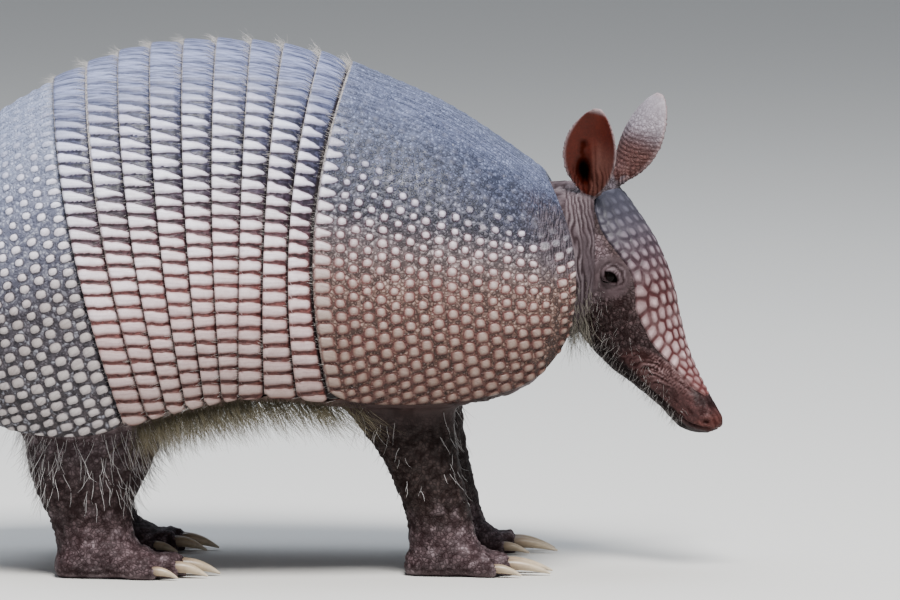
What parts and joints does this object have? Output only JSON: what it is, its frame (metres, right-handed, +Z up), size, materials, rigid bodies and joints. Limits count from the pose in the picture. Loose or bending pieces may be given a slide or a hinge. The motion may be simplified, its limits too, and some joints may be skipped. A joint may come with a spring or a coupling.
{
  "type": "armadillo",
  "caption": "Life-size standing armadillo with a banded carapace, lowered head, ringed tail and clawed feet.",
  "frame": {"origin": "middle of the bounding box's footprint, on the floor that the feet stand on", "axes": "+X towards the head, +Y towards the animal's left side, +Z up"},
  "size_m": [0.6132, 0.1558, 0.2238],
  "materials": {
    "shell": "dull horn scutes, slate above and cream to tan below",
    "skin": "dark wrinkled skin with sparse hair",
    "scale": "small horn scales, satin",
    "ear": "thin pebbled skin",
    "eye": "wet gloss, nearly black",
    "claw": "worn horn"
  },
  "bodies": {
    "root": {"band_1": "shell", "band_2": "shell", "band_3": "shell", "band_4": "shell", "band_5": "shell", "band_6": "shell", "band_7": "shell", "band_8": "shell", "band_9": "shell", "claw_fore_left_1": "claw", "claw_fore_left_2": "claw", "claw_fore_left_3": "claw", "claw_fore_left_4": "claw", "claw_fore_right_1": "claw", "claw_fore_right_2": "claw", "claw_fore_right_3": "claw", "claw_fore_right_4": "claw", "claw_hind_left_1": "claw", "claw_hind_left_2": "claw", "claw_hind_left_3": "claw", "claw_hind_left_4": "claw", "claw_hind_left_5": "claw", "claw_hind_right_1": "claw", "claw_hind_right_2": "claw", "claw_hind_right_3": "claw", "claw_hind_right_4": "claw", "claw_hind_right_5": "claw", "ear_left": "ear", "ear_right": "ear", "eye_left": "eye", "eye_right": "eye", "forefoot_left": "skin", "forefoot_right": "skin", "foreleg_left": "skin", "foreleg_right": "skin", "head": "skin", "head_shield": "scale", "hindfoot_left": "skin", "hindfoot_right": "skin", "hindleg_left": "skin", "hindleg_right": "skin", "neck": "skin", "pelvic_shield": "shell", "shoulder_shield": "shell", "tail_ring_1": "scale", "tail_ring_10": "scale", "tail_ring_11": "scale", "tail_ring_12": "scale", "tail_ring_2": "scale", "tail_ring_3": "scale", "tail_ring_4": "scale", "tail_ring_5": "scale", "tail_ring_6": "scale", "tail_ring_7": "scale", "tail_ring_8": "scale", "tail_ring_9": "scale", "tail_tip": "scale", "trunk": "skin"}
  },
  "joints": []
}
